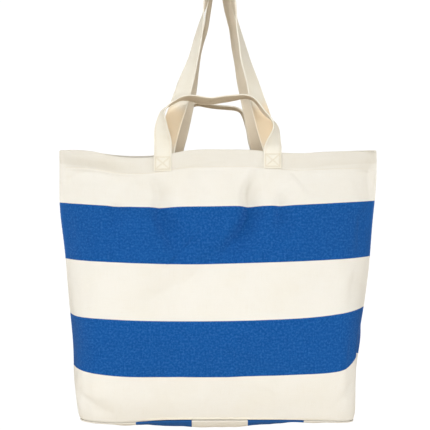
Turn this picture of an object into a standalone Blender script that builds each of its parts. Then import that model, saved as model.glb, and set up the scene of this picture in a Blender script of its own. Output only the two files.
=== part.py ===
"""Canvas tote bag with two short handles and two long straps, hanging from a hook arm.

Metres, +Z up, front towards -Y. The origin is where the hook arm bears on the two long straps.
"""

import math

import bpy
from mathutils import Vector

MM = 0.001

# Bag body
RIM_Z = -305.6 * MM
BASE_Z = -729.5 * MM
RIM_HALF_WIDTH = 253.0 * MM
BASE_HALF_LENGTH = 219.0 * MM
BASE_HALF_DEPTH = 46.0 * MM
BASE_CORNER = 32.0 * MM
BASE_SAG = 14.0 * MM
SAG_FLAT = 0.4
CLOTH = 1.2 * MM
GAP = 0.3 * MM
HEM_DEPTH = 28.0 * MM

# Front is side -1 and back is side +1: rim depth, half the straight middle of the rim, bulge
RIM_DEPTH = {-1: 35.0 * MM, 1: 45.0 * MM}
RIM_FLAT_HALF = {-1: 105.0 * MM, 1: 90.0 * MM}
BULGE = {-1: 31.0 * MM, 1: 20.0 * MM}
TAPER_POWER = 1.22
BULGE_RISE = 2.2
BULGE_TUCK = 7

# Handles and straps, all cut from one webbing
WEB_WIDTH = 28.0 * MM
WEB = 2.2 * MM
WEB_X = {-1: 88.0 * MM, 1: 70.0 * MM}
END_LENGTH = 26.0 * MM
END_RISE = 1.0 * MM
HANDLE_HEIGHT = {-1: 78.0 * MM, 1: 74.0 * MM}
HANDLE_LEAN = {-1: 14.0 * MM, 1: 12.0 * MM}
HANDLE_SHOULDER = 34.0 * MM
HANDLE_TWIST = {-1: math.radians(109), 1: math.radians(82)}
HOOK_RADIUS = 6.0 * MM
STRAP_HOOK_Y = 14.8 * MM

# Seams
SEAM_WIDTH = 10.0 * MM
SEAM_THICK = 2.0 * MM
THREAD = 0.4 * MM
THREAD_WIDTH = 0.7 * MM
BOX_HALF_WIDTH = 11.5 * MM
BOX_HALF_HEIGHT = 10.0 * MM

# Across a panel, from the left side seam (0) to the right one (1); the middle stretch is straight
HALF_COLUMNS = [0, 0.0175, 0.035, 0.055, 0.075, 0.094, 0.114, 0.133, 0.17, 0.21, 0.25, 0.298]
COLUMNS = HALF_COLUMNS + [0.5] + [1 - a for a in reversed(HALF_COLUMNS)]
INNER_COLUMNS = COLUMNS[1:-1]
HEM_T = HEM_DEPTH / (RIM_Z - BASE_Z)
ROWS = [0, HEM_T / 2, HEM_T, 0.12, 0.2, 0.3, 0.4, 0.5, 0.6, 0.7, 0.8, 0.88, 0.94, 0.975, 1]
BASE_RINGS = [1, 0.92, 0.82, 0.7, 0.55, SAG_FLAT]

X_AXIS = Vector((1, 0, 0))
Y_AXIS = Vector((0, 1, 0))
Z_AXIS = Vector((0, 0, 1))


def clear_scene():
    for old in list(bpy.data.objects):
        bpy.data.objects.remove(old, do_unlink=True)


def make_material(name, colour, roughness):
    made = bpy.data.materials.new(name)
    made.use_nodes = True
    shader = made.node_tree.nodes["Principled BSDF"]
    shader.inputs["Base Color"].default_value = (*colour, 1)
    shader.inputs["Roughness"].default_value = roughness
    shader.inputs["Metallic"].default_value = 0
    return made


def make_object(name, points, faces, material, origin=Vector((0, 0, 0))):
    mesh = bpy.data.meshes.new(name)
    mesh.from_pydata([p - origin for p in points], [], faces)
    mesh.materials.append(material)
    made = bpy.data.objects.new(name, mesh)
    made.location = origin
    bpy.context.scene.collection.objects.link(made)
    return made


def smooth(value):
    value = min(max(value, 0), 1)
    return value * value * (3 - 2 * value)


def polyline_point(corners, length):
    """The point this far along a polyline."""
    for start, end in zip(corners, corners[1:]):
        step = (end - start).length
        if length <= step:
            return start.lerp(end, length / step)
        length -= step
    return corners[-1].copy()


def rim_curve(side):
    """Half of the mouth's lens: straight in the middle, bowed down to each side seam."""
    flat, reach, depth = RIM_FLAT_HALF[side], RIM_HALF_WIDTH, RIM_DEPTH[side]
    steps = 12
    left = []
    for i in range(steps + 1):
        across = 1 - i / steps
        left.append(Vector((-flat - (reach - flat) * across, side * depth * (1 - across ** 2), 0)))
    return left + [Vector((-p.x, p.y, 0)) for p in reversed(left)]


def base_curve(side):
    """Half of the base's outline, a rectangle with round corners."""
    inner_x, inner_y = BASE_HALF_LENGTH - BASE_CORNER, BASE_HALF_DEPTH - BASE_CORNER
    steps = 12
    left = [Vector((-BASE_HALF_LENGTH, 0, 0))]
    for i in range(steps + 1):
        turn = math.pi / 2 * i / steps
        x = -inner_x - BASE_CORNER * math.cos(turn)
        y = side * (inner_y + BASE_CORNER * math.sin(turn))
        left.append(Vector((x, y, 0)))
    return left + [Vector((-p.x, p.y, 0)) for p in reversed(left)]


def curve_length(corners):
    return sum((b - a).length for a, b in zip(corners, corners[1:]))


RIM = {side: rim_curve(side) for side in (-1, 1)}
BASE = {side: base_curve(side) for side in (-1, 1)}


def bulge(side, t):
    return BULGE[side] * (1 - (1 - t) ** BULGE_RISE) * (1 - t ** BULGE_TUCK)


def wall_point(side, a, t):
    """The middle of the cloth: a runs from side seam to side seam, t from the rim down to the base."""
    rim = polyline_point(RIM[side], a * curve_length(RIM[side]))
    base = polyline_point(BASE[side], a * curve_length(BASE[side]))
    point = rim.lerp(base, max(t, 0) ** TAPER_POWER)
    depth = RIM_DEPTH[side] + (BASE_HALF_DEPTH - RIM_DEPTH[side]) * t ** TAPER_POWER
    point.y *= 1 + bulge(side, t) / depth
    point.z = RIM_Z + (BASE_Z - RIM_Z) * t
    return point


def wall_normal(side, a, t):
    step = 0.004
    low_a, high_a = max(a - step, 0), min(a + step, 1)
    low_t, high_t = max(t - step, 0), min(t + step, 1)
    across = wall_point(side, high_a, t) - wall_point(side, low_a, t)
    down = wall_point(side, a, high_t) - wall_point(side, a, low_t)
    return side * across.cross(down).normalized()


def wall_grid(side, columns, rows, offset):
    """Points at this offset outwards from the middle of the cloth, kept on their own side of the seam."""
    grid = []
    for t in rows:
        row = []
        for a in columns:
            point = wall_point(side, a, t) + wall_normal(side, a, t) * offset
            point.y = side * max(side * point.y, GAP / 2)
            point.z = RIM_Z + (BASE_Z - RIM_Z) * t
            row.append(point)
        grid.append(row)
    return grid


def shell_object(name, outer, inner, material):
    """A closed shell between two grids of the same size, faces turned out."""
    rows, columns = len(outer), len(outer[0])
    points = [p for row in outer for p in row] + [p for row in inner for p in row]
    size = rows * columns
    faces = []
    for i in range(rows - 1):
        for j in range(columns - 1):
            a, b = i * columns + j, i * columns + j + 1
            c, d = b + columns, a + columns
            faces.append((a, b, c, d))
            faces.append((size + d, size + c, size + b, size + a))
    rim = [j for j in range(columns)]
    rim += [i * columns + columns - 1 for i in range(1, rows)]
    rim += [(rows - 1) * columns + j for j in range(columns - 2, -1, -1)]
    rim += [i * columns for i in range(rows - 2, 0, -1)]
    for a, b in zip(rim, rim[1:] + rim[:1]):
        faces.append((b, a, size + a, size + b))
    return turned_out(make_object(name, points, faces, material))


def turned_out(made):
    """Flips the mesh if its signed volume is negative."""
    mesh = made.data
    mesh.calc_loop_triangles()
    volume = 0
    for triangle in mesh.loop_triangles:
        a, b, c = (mesh.vertices[i].co for i in triangle.vertices)
        volume += a.cross(b).dot(c)
    if volume < 0:
        mesh.flip_normals()
    return made


def make_panel(name, side, material):
    outer = wall_grid(side, COLUMNS, ROWS, CLOTH / 2)
    inner = wall_grid(side, COLUMNS, ROWS, -CLOTH / 2)
    return shell_object(name, outer, inner, material)


def make_hem_facing(name, side, material):
    """The inner layer of the turned-in hem, a gap inside the panel, from one bound side seam to the other."""
    rows = ROWS[:3]
    outer = wall_grid(side, INNER_COLUMNS, rows, -CLOTH / 2 - GAP)
    inner = wall_grid(side, INNER_COLUMNS, rows, -1.5 * CLOTH - GAP)
    return shell_object(name, outer, inner, material)


def make_hem_stitch(name, side, material):
    """One line of thread round the outside, along the lower edge of the hem."""
    half = THREAD_WIDTH / 2 / (RIM_Z - BASE_Z)
    rows = [HEM_T - half, HEM_T + half]
    outer = wall_grid(side, INNER_COLUMNS, rows, CLOTH / 2 + GAP + THREAD)
    inner = wall_grid(side, INNER_COLUMNS, rows, CLOTH / 2 + GAP)
    return shell_object(name, outer, inner, material)


def base_outline(inset):
    """The base's whole outline, a round of points, moved inwards by the inset."""
    points = []
    for side in (-1, 1):
        row = [wall_point(side, a, 1) - wall_normal(side, a, 1).xy.normalized().to_3d() * inset
               for a in INNER_COLUMNS]
        ends = [Vector((x * (BASE_HALF_LENGTH - inset), 0, BASE_Z)) for x in (-1, 1)]
        points += ([ends[0]] + row) if side == -1 else ([ends[1]] + row[::-1])
    return [Vector((p.x, p.y, BASE_Z)) for p in points]


def base_drop(scale):
    """How far the base hangs below its seam, flat in the middle."""
    inwards = (1 - scale) / (1 - SAG_FLAT)
    return BASE_SAG * math.sin(math.pi / 2 * min(inwards, 1))


def make_base(name, material):
    outline = base_outline(-CLOTH / 2)
    count = len(outline)
    points = []
    for top in (True, False):
        for scale in BASE_RINGS:
            drop = base_drop(scale) + GAP / 2 + (0 if top else CLOTH)
            points += [Vector((p.x * scale, p.y * scale, BASE_Z - drop)) for p in outline]
    layer = count * len(BASE_RINGS)
    faces = []
    for ring in range(len(BASE_RINGS) - 1):
        for j in range(count):
            a, b = ring * count + j, ring * count + (j + 1) % count
            faces.append((a, b, b + count, a + count))
            faces.append((layer + a + count, layer + b + count, layer + b, layer + a))
    for j in range(count):
        a, b = j, (j + 1) % count
        faces.append((b, a, layer + a, layer + b))
    middle = layer - count
    faces.append(tuple(range(middle, layer)))
    faces.append(tuple(range(layer + layer - 1, layer + middle - 1, -1)))
    return turned_out(make_object(name, points, faces, material))


def make_base_binding(name, material):
    """A ring of bound seam allowance standing just inside the base seam."""
    insets = (CLOTH / 2 + 3 * GAP, CLOTH / 2 + 3 * GAP + SEAM_THICK)
    rings = []
    for inset in insets:
        outline = base_outline(inset)
        for height in (GAP, SEAM_WIDTH):
            rings.append([p + Z_AXIS * height for p in outline])
    order = [0, 1, 3, 2]
    count = len(rings[0])
    points = [p for k in order for p in rings[k]]
    faces = []
    for k in range(4):
        for j in range(count):
            a, b = k * count + j, k * count + (j + 1) % count
            c, d = ((k + 1) % 4) * count + (j + 1) % count, ((k + 1) % 4) * count + j
            faces.append((a, b, c, d))
    return turned_out(make_object(name, points, faces, material))


def seam_room(t):
    """How far in from the side seam the bound allowance can start, clear of both walls."""
    needed = SEAM_THICK / 2 + 1.5 * CLOTH + 4 * GAP
    a = 0
    while min(abs(wall_point(side, a, t).y) for side in (-1, 1)) < needed:
        a += 0.001
    return max(wall_point(side, a, t).x - wall_point(side, 0, t).x for side in (-1, 1))


def make_side_binding(name, direction, material):
    """The bound seam allowance inside one side seam: a fin that points into the bag."""
    stop_t = 1 - (SEAM_WIDTH + 2 * GAP) / (RIM_Z - BASE_Z)
    rows = [t for t in ROWS[:-1] if t < stop_t] + [stop_t]
    rows[0] = 2 * GAP / (RIM_Z - BASE_Z)
    outer, inner = [], []
    for t in rows:
        seam = wall_point(1, 0, t)
        start = abs(seam.x) - max(seam_room(t), CLOTH / 2 + 2 * GAP)
        for grid, y in ((outer, -SEAM_THICK / 2), (inner, SEAM_THICK / 2)):
            grid.append([Vector((direction * x, y, seam.z)) for x in (start, start - SEAM_WIDTH)])
    return shell_object(name, outer, inner, material)


def flat_wall(side, t):
    """The straight middle stretch of a wall: its Y and how it slopes, as an outward normal."""
    return wall_point(side, 0.5, t).y, wall_normal(side, 0.5, t)


def end_frame(side, x, outside):
    """Where one end of webbing is sewn on: top centre, way down and outward normal of its middle plane."""
    end_t = END_LENGTH / (RIM_Z - BASE_Z)
    top_y, _ = flat_wall(side, 0)
    low_y, _ = flat_wall(side, end_t)
    down = Vector((0, low_y - top_y, -END_LENGTH)).normalized()
    normal = Vector((0, side * -down.z, side * down.y)).normalized()
    if outside:
        offset = CLOTH / 2 + 1.5 * GAP + WEB / 2
    else:
        offset = -(1.5 * CLOTH + 2.5 * GAP + WEB / 2)
    top = Vector((x, top_y, RIM_Z)) + normal * offset
    return top - down * ((top.z - RIM_Z) / down.z), down, normal


def make_end(name, side, x, outside, material):
    """One stitched-down end of a handle or strap, standing a little above the rim."""
    top, down, normal = end_frame(side, x, outside)
    level = Vector((0, normal.y, 0)).normalized()
    half_x, half_y = X_AXIS * WEB_WIDTH / 2, level * WEB / 2
    outer, inner = [], []
    for place in (top + Z_AXIS * END_RISE, top, top + down * END_LENGTH):
        outer.append([place - half_x + half_y, place + half_x + half_y])
        inner.append([place - half_x - half_y, place + half_x - half_y])
    return shell_object(name, outer, inner, material)


def box_cross_faces():
    """A stitched rectangle with its diagonals, as points in its plane and the faces between its four windows."""
    wide, high, line = BOX_HALF_WIDTH, BOX_HALF_HEIGHT, THREAD_WIDTH
    diagonal = math.hypot(wide, high)
    apex_v, apex_u = line / 2 * diagonal / wide, line / 2 * diagonal / high
    side_u = (high - line - apex_v) * wide / high
    side_v = (wide - line - apex_u) * high / wide
    corners = [(-wide, high), (wide, high), (wide, -high), (-wide, -high)]
    windows = [
        [(0, apex_v), (-side_u, high - line), (side_u, high - line)],
        [(apex_u, 0), (wide - line, side_v), (wide - line, -side_v)],
        [(0, -apex_v), (side_u, line - high), (-side_u, line - high)],
        [(-apex_u, 0), (line - wide, -side_v), (line - wide, side_v)],
    ]
    points = corners + [p for window in windows for p in window]
    faces = [(4, 13, 10, 7)]
    for k in range(4):
        after = (k + 1) % 4
        apex, first, last = (4 + 3 * k + i for i in range(3))
        next_apex, next_first = 4 + 3 * after, 5 + 3 * after
        faces.append((k, first, last, after))
        faces.append((last, next_first, after))
        faces.append((apex, last, next_first, next_apex)[::-1])
    return points, faces


def make_box_stitch(name, side, x, material):
    """The box-and-cross stitching on the outer face of a handle's end."""
    top, down, normal = end_frame(side, x, True)
    level = Vector((0, normal.y, 0)).normalized()
    centre = top + down * (END_LENGTH / 2) + level * (WEB / 2 + GAP)
    flat_points, flat_faces = box_cross_faces()
    points = []
    for depth in (0, THREAD):
        points += [centre + X_AXIS * u - down * v + level * depth for u, v in flat_points]
    size = len(flat_points)
    edges = {}
    faces = []
    for face in flat_faces:
        faces.append(tuple(size + i for i in face))
        faces.append(tuple(reversed(face)))
        for a, b in zip(face, face[1:] + face[:1]):
            edges[(a, b)] = edges.get((a, b), 0) + 1
    for a, b in edges:
        if (b, a) not in edges:
            faces.append((a, b, size + b, size + a))
    return turned_out(make_object(name, points, faces, material))


def fold_axis(side):
    """Both webs on one side fold about the outer top edge of the handle's sewn ends."""
    top, _, _ = end_frame(side, 0, True)
    return Vector((0, top.y + side * WEB / 2, RIM_Z + END_RISE + GAP / 2))


def web_loop(name, side, path, twist, material):
    """A band of webbing along a path in an upright plane, turned from flat at its ends by its twist."""
    lengths = [0]
    for start, end in zip(path, path[1:]):
        lengths.append(lengths[-1] + (end - start).length)
    outer, inner = [], []
    last = len(path) - 1
    for i, centre in enumerate(path):
        along = (path[min(i + 1, last)] - path[max(i - 1, 0)]).normalized()
        from_end = min(lengths[i], lengths[-1] - lengths[i])
        upright = Z_AXIS if lengths[i] < lengths[-1] / 2 else -Z_AXIS
        along = upright.lerp(along, smooth(from_end / WEB_WIDTH)).normalized()
        inwards = Vector((along.z, 0, -along.x)).normalized()
        turn = twist(from_end, lengths[-1])
        across = inwards * math.cos(turn) + Y_AXIS * side * math.sin(turn)
        across = (across - along * across.dot(along)).normalized()
        thick = across.cross(along).normalized() * (WEB / 2)
        half = across * (WEB_WIDTH / 2)
        outer.append([centre - half + thick, centre + half + thick])
        inner.append([centre - half - thick, centre + half - thick])
    made = shell_object(name, outer, inner, material)
    return move_origin(made, fold_axis(side))


def move_origin(made, origin):
    for vertex in made.data.vertices:
        vertex.co -= origin
    made.location = origin
    return made


def loop_start(side, outside):
    top, _, _ = end_frame(side, -WEB_X[side], outside)
    return Vector((top.x, top.y, RIM_Z + END_RISE + GAP))


def handle_path(side):
    """Up one leg, round a shoulder, across and down again, leaning a little away from the bag."""
    start = loop_start(side, True)
    radius = HANDLE_SHOULDER
    leg = HANDLE_HEIGHT[side] - radius
    left = [start + Z_AXIS * leg * i / 9 for i in range(10)]
    for i in range(1, 9):
        turn = math.pi / 2 * i / 8
        shift = Vector((radius * (1 - math.cos(turn)), 0, leg + radius * math.sin(turn)))
        left.append(start + shift)
    across = [left[-1] * (1 - i / 4) + Vector((0, left[-1].y, left[-1].z)) * (i / 4) for i in (1, 2, 3, 4)]
    left += across
    for point in left:
        rise = (point.z - start.z) / HANDLE_HEIGHT[side]
        point.y += side * HANDLE_LEAN[side] * smooth(rise)
    return left + [Vector((-p.x, p.y, p.z)) for p in reversed(left[:-1])]


def strap_path(side):
    """Straight up from the rim to the hook arm, round its top and down again."""
    start = loop_start(side, False)
    hub = Vector((0, side * STRAP_HOOK_Y, -HOOK_RADIUS))
    radius = HOOK_RADIUS + WEB / 2
    reach = math.hypot(hub.x - start.x, hub.z - start.z)
    slope = math.atan2(hub.x - start.x, hub.z - start.z) - math.asin(radius / reach)
    left = []
    touch = hub + Vector((-math.cos(slope), 0, math.sin(slope))) * radius
    for i in range(24):
        left.append(start.lerp(touch, i / 24))
    for i in range(5):
        turn = math.pi - slope - (math.pi / 2 - slope) * i / 4
        left.append(hub + Vector((math.cos(turn), 0, math.sin(turn))) * radius)
    return left + [Vector((-p.x, p.y, p.z)) for p in reversed(left[:-1])]


def handle_twist(side):
    def twist(from_end, length):
        return HANDLE_TWIST[side] * smooth((from_end - 8 * MM) / (HANDLE_HEIGHT[side] * 0.95))
    return twist


def strap_twist(from_end, length):
    return math.pi / 2 * smooth((from_end / (length / 2) - 0.15) / 0.6)


def build():
    clear_scene()
    striped = make_material("striped_canvas", (0.80, 0.76, 0.66), 0.9)
    web = make_material("cream_webbing", (0.80, 0.76, 0.66), 0.85)
    thread = make_material("cream_thread", (0.86, 0.83, 0.74), 0.7)
    binding = make_material("seam_binding", (0.78, 0.74, 0.64), 0.85)
    make_base("base_panel", striped)
    make_base_binding("base_seam_binding", binding)
    for direction, place in ((-1, "left"), (1, "right")):
        make_side_binding(place + "_seam_binding", direction, binding)
    for side, face in ((-1, "front"), (1, "back")):
        make_panel(face + "_panel", side, striped)
        make_hem_facing(face + "_hem_facing", side, striped)
        make_hem_stitch(face + "_hem_stitch", side, thread)
        for direction, place in ((-1, "left"), (1, "right")):
            x = direction * WEB_X[side]
            make_end(f"{face}_handle_end_{place}", side, x, True, web)
            make_end(f"{face}_strap_end_{place}", side, x, False, web)
            make_box_stitch(f"{face}_box_stitch_{place}", side, x, thread)
        web_loop(face + "_handle", side, handle_path(side), handle_twist(side), web)
        web_loop(face + "_strap", side, strap_path(side), strap_twist, web)


build()
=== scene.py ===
"""Looks of the canvas tote bag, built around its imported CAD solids.

Metres, +Z up, front towards -Y. The bag hangs by its long straps from a hook arm at the origin.
"""

import math

import bpy
import numpy as np
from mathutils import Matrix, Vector


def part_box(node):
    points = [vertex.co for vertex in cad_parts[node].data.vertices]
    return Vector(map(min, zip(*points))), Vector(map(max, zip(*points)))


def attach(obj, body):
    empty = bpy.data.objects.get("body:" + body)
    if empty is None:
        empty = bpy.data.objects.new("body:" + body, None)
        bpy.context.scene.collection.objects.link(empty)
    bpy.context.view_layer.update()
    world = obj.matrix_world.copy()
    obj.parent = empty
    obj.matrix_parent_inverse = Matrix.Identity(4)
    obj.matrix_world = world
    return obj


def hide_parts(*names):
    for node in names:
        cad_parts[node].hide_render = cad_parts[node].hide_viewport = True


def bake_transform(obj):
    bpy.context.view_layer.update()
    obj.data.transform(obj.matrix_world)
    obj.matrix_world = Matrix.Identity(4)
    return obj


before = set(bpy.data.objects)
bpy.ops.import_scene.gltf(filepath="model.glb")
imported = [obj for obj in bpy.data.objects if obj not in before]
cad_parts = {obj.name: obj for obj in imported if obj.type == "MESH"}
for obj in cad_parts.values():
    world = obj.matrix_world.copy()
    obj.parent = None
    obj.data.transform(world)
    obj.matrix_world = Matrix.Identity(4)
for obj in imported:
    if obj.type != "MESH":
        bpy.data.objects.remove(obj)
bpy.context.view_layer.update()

MM = 0.001
FRONT, BACK = -1, 1
SIDES = (FRONT, BACK)
FACE = {FRONT: "front", BACK: "back"}
ENDS = ((-1, "left"), (1, "right"))

# The loft of the bag, as the CAD solids have it
PANEL_LOW, PANEL_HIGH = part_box("front_panel")
_, BASE_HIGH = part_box("base_panel")
CAD_CLOTH = 1.2 * MM
RIM_Z = PANEL_HIGH.z
BASE_Z = PANEL_LOW.z
HEIGHT = RIM_Z - BASE_Z
RIM_HALF_WIDTH = PANEL_HIGH.x - CAD_CLOTH / 2
BASE_HALF_LENGTH = BASE_HIGH.x - CAD_CLOTH / 2
BASE_HALF_DEPTH = BASE_HIGH.y - CAD_CLOTH / 2
BASE_CORNER = 32 * MM
RIM_DEPTH = {FRONT: 35 * MM, BACK: 45 * MM}
RIM_FLAT_HALF = {FRONT: 105 * MM, BACK: 90 * MM}
BULGE = {FRONT: 31 * MM, BACK: 20 * MM}
TAPER_POWER = 1.22
BULGE_RISE = 2.2
BULGE_TUCK = 7

# Cloth
STRIPE = 90 * MM
BASE_STRIPE = 88 * MM
CLOTH = 1.1 * MM
HEM_DEPTH = 28 * MM
HEM_FOLD = 0.75 * MM      # radius of the fold over the rim
HEM_SLACK = 0.5 * MM      # between the layers of the hem
HEM_MITRE = 0.012         # how far the hem's ends are cut back, and over what reach, as shares of the rim
HEM_MITRE_REACH = 0.03
HEM_STITCH_DEPTH = HEM_DEPTH - 1.6 * MM
SEAM_CLEAR = 0.7 * MM     # half of the least distance between the two panels
BASE_SAG = 8.2 * MM

# Webbing
WEB_WIDTH = 28 * MM
WEB = 2.0 * MM
WEB_EDGE = 0.85 * MM
SEWN = 26 * MM            # length of each sewn-down end
STRAP_HOOK_Y = 14.8 * MM
LAYER_GAP = 0.25 * MM     # between a band and the cloth that it is sewn to
TAPE_THICK = 2 * MM
TAPE_WIDTH = 10 * MM

# Thread
THREAD_RADIUS = 0.27 * MM
PROUD = 0.05 * MM         # how far a row of stitches stands off its cloth
STITCH_PITCH = 3.1 * MM
STITCH_LENGTH = 2.5 * MM
BOX_HALF_WIDTH = 11.5 * MM
BOX_HALF_HEIGHT = 10 * MM


# ---------------------------------------------------------------- small maths

def smooth(value):
    """An S-shaped step from 0 at 0 to 1 at 1."""
    value = np.clip(value, 0, 1)
    return value * value * (3 - 2 * value)


def hill(value, centre, width, power=2):
    """1 at the centre, falling to 1/e at this half width; a higher power has a flatter top."""
    return np.exp(-np.abs((value - centre) / width) ** power)


def waves(u, v, wavelength, seed, count=10):
    """A smooth random relief, about -1 to 1, from plane waves in random directions."""
    rng = np.random.default_rng(seed)
    total = 0
    for _ in range(count):
        angle, phase = rng.uniform(0, math.tau, 2)
        length = wavelength * rng.uniform(0.65, 1.5)
        total = total + np.sin(math.tau * (u * math.cos(angle) + v * math.sin(angle)) / length + phase)
    return total / math.sqrt(count)


def unit(vectors):
    """The same directions, one unit long."""
    return vectors / np.maximum(np.linalg.norm(vectors, axis=-1, keepdims=True), 1e-12)


def along_curve(points):
    """How far along a row of points each one lies."""
    steps = np.linalg.norm(np.diff(points, axis=0), axis=1)
    return np.concatenate([[0], np.cumsum(steps)])


def sample(at, places, rows):
    """Rows of numbers that lie at these places, read off in between at others."""
    return np.stack([np.interp(at, places, column) for column in rows.T], -1)


def nearest(x, y, start, end):
    """The nearest point of a straight line: its share of the way to the end, and its offset in x and y."""
    dx, dy = end[0] - start[0], end[1] - start[1]
    share = np.clip(((x - start[0]) * dx + (y - start[1]) * dy) / (dx * dx + dy * dy), 0, 1)
    return share, start[0] + share * dx - x, start[1] + share * dy - y


def spline(table, step, places=3):
    """Natural cubic spline through rows of numbers, the first ones being places, resampled at this step."""
    table = np.array(table, float)
    s = along_curve(table[:, :places])
    n, h = len(s), np.diff(s)
    system, right = np.eye(n), np.zeros((n, table.shape[1]))
    for i in range(1, n - 1):
        system[i, i - 1:i + 2] = h[i - 1], 2 * (h[i - 1] + h[i]), h[i]
        right[i] = 6 * ((table[i + 1] - table[i]) / h[i] - (table[i] - table[i - 1]) / h[i - 1])
    bend = np.linalg.solve(system, right)
    at = np.linspace(0, s[-1], max(int(s[-1] / step), 2) + 1)
    k = np.clip(np.searchsorted(s, at, side="right") - 1, 0, n - 2)
    before, after = (at - s[k])[:, None], (s[k + 1] - at)[:, None]
    wide = h[k][:, None]
    return ((bend[k] * after ** 3 + bend[k + 1] * before ** 3) / (6 * wide)
            + (table[k] / wide - bend[k] * wide / 6) * after
            + (table[k + 1] / wide - bend[k + 1] * wide / 6) * before)


# ---------------------------------------------------------------- meshes

SHARP_ANGLE = math.radians(50)


def grid_quads(rows, columns, start=0, closed=False):
    """Quads between neighbouring points of a grid; closed also joins the last column to the first."""
    i, j = np.meshgrid(np.arange(rows - 1), np.arange(columns if closed else columns - 1), indexing="ij")
    after = (j + 1) % columns
    above, below = i * columns, (i + 1) * columns
    return np.stack([above + j, above + after, below + after, below + j], -1).reshape(-1, 4) + start


def tube_faces(rows, columns, start=0):
    """Quads round a tube that is a grid of rings, and a cap over each end."""
    first = list(range(start, start + columns))
    last = [(rows - 1) * columns + j for j in first]
    return grid_quads(rows, columns, start, closed=True).tolist() + [first[::-1], last]


def grid_normals(grid):
    """A normal at each point of a grid."""
    across = np.gradient(grid, axis=1)
    down = np.gradient(grid, axis=0)
    return unit(np.cross(across, down))


def put_in_scene(name, data):
    """An object of this mesh, lamp or camera."""
    made = bpy.data.objects.new(name, data)
    bpy.context.scene.collection.objects.link(made)
    return made


def make_piece(name, points, faces, materials, cloth=None, indices=None, inner=None):
    """A shaded mesh, with two attributes that the materials read.

    cloth is each point's place in the flat cloth and its wear, less, on webbing, the painted shade of its box
    stitching. inner is a band's painted light: 1 on the face that is turned in, which is painted in shade,
    and -1 where a warm glow of light that comes back from the band in front is painted.
    """
    mesh = bpy.data.meshes.new(name)
    mesh.from_pydata(np.asarray(points).tolist(), [], [list(map(int, f)) for f in faces])
    for material in materials:
        mesh.materials.append(material)
    if indices is not None:
        mesh.polygons.foreach_set("material_index", np.asarray(indices, np.int32))
    for label, kind, part, values in (("cloth", "FLOAT_VECTOR", "vector", cloth),
                                      ("inner", "FLOAT", "value", inner)):
        if values is not None:
            layer = mesh.attributes.new(label, kind, "POINT")
            layer.data.foreach_set(part, np.asarray(values, np.float32).ravel())
    mesh.shade_smooth()
    mesh.set_sharp_from_angle(angle=SHARP_ANGLE)
    return put_in_scene(name, mesh)


def sew_on(made, slot, *nodes):
    """Fixes a piece to the bag, in place of the CAD nodes that it stands for. The slot is not used."""
    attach(made, "bag")
    if nodes:
        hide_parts(*nodes)
    return made


def make_shell(name, middle, cloth):
    """A sheet of canvas around a grid of its middle."""
    rows, columns = middle.shape[:2]
    half = grid_normals(middle) * CLOTH / 2
    points = np.concatenate([(middle + half).reshape(-1, 3), (middle - half).reshape(-1, 3)])
    quads = grid_quads(rows, columns)
    number = np.arange(rows * columns).reshape(rows, columns)
    edge = np.concatenate([number[0], number[1:, -1], number[-1, -2::-1], number[-2:0:-1, 0]])
    size = number.size
    after = np.roll(edge, -1)
    band = np.stack([after, edge, edge + size, after + size], -1)
    faces = np.concatenate([quads, quads[:, ::-1] + size, band])
    both = np.concatenate([cloth.reshape(-1, 3)] * 2)
    return make_piece(name, points, outward(points, faces), [CANVAS], both)


# One stitch, from end to end: half lengths from its middle, and its lift and girth in thread radii.
STITCH_STATIONS = np.array([-1, -0.8, -0.35, 0.35, 0.8, 1])
STITCH_LIFT = np.array([-0.9, 0.05, 0.55, 0.55, 0.05, -0.9]) * THREAD_RADIUS
STITCH_GIRTH = np.array([0.45, 0.9, 1, 1, 0.9, 0.45]) * THREAD_RADIUS
STITCH_SIDES = 6


def stitches(places, normals, seed, start=0):
    """Separate stitches along a row of points: short threads that rise out of the cloth and dive back in.

    The faces count their points from start.
    """
    rng = np.random.default_rng(seed)
    s = along_curve(places)
    lift, girth = STITCH_LIFT[:, None], STITCH_GIRTH[:, None, None]
    turn = math.tau * np.arange(STITCH_SIDES)[None, :, None] / STITCH_SIDES
    points, faces = [], []
    for k in range(int(s[-1] / STITCH_PITCH)):
        centre = (k + 0.5) * STITCH_PITCH + rng.uniform(-0.08, 0.08) * STITCH_PITCH
        at = np.clip(centre + STITCH_STATIONS * STITCH_LENGTH / 2, 0, s[-1])
        where, up = sample(at, s, places), unit(sample(at, s, normals))
        tangent = unit(where[-1] - where[0])
        aside = unit(np.cross(up, tangent))
        where = where + aside * rng.uniform(-0.09, 0.09) * MM + up * lift
        ring = (where[:, None] + aside[:, None] * (np.cos(turn) * girth)
                + up[:, None] * (np.sin(turn) * girth * 0.8))
        faces += tube_faces(len(at), STITCH_SIDES, start + len(points) * STITCH_SIDES * len(at))
        points.append(ring.reshape(-1, 3))
    return np.concatenate(points), faces


def outward(points, faces):
    """Turns a closed mesh's faces out if its signed volume, with the end caps left out, is negative."""
    quads = np.array([f for f in faces if len(f) == 4])
    a, b, c, d = (points[quads[:, k]] for k in range(4))
    volume = np.einsum("ij,ij->", a, np.cross(b, c)) + np.einsum("ij,ij->", a, np.cross(c, d))
    return [list(f)[::-1] for f in faces] if volume < 0 else [list(f) for f in faces]


# ---------------------------------------------------------------- materials

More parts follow.
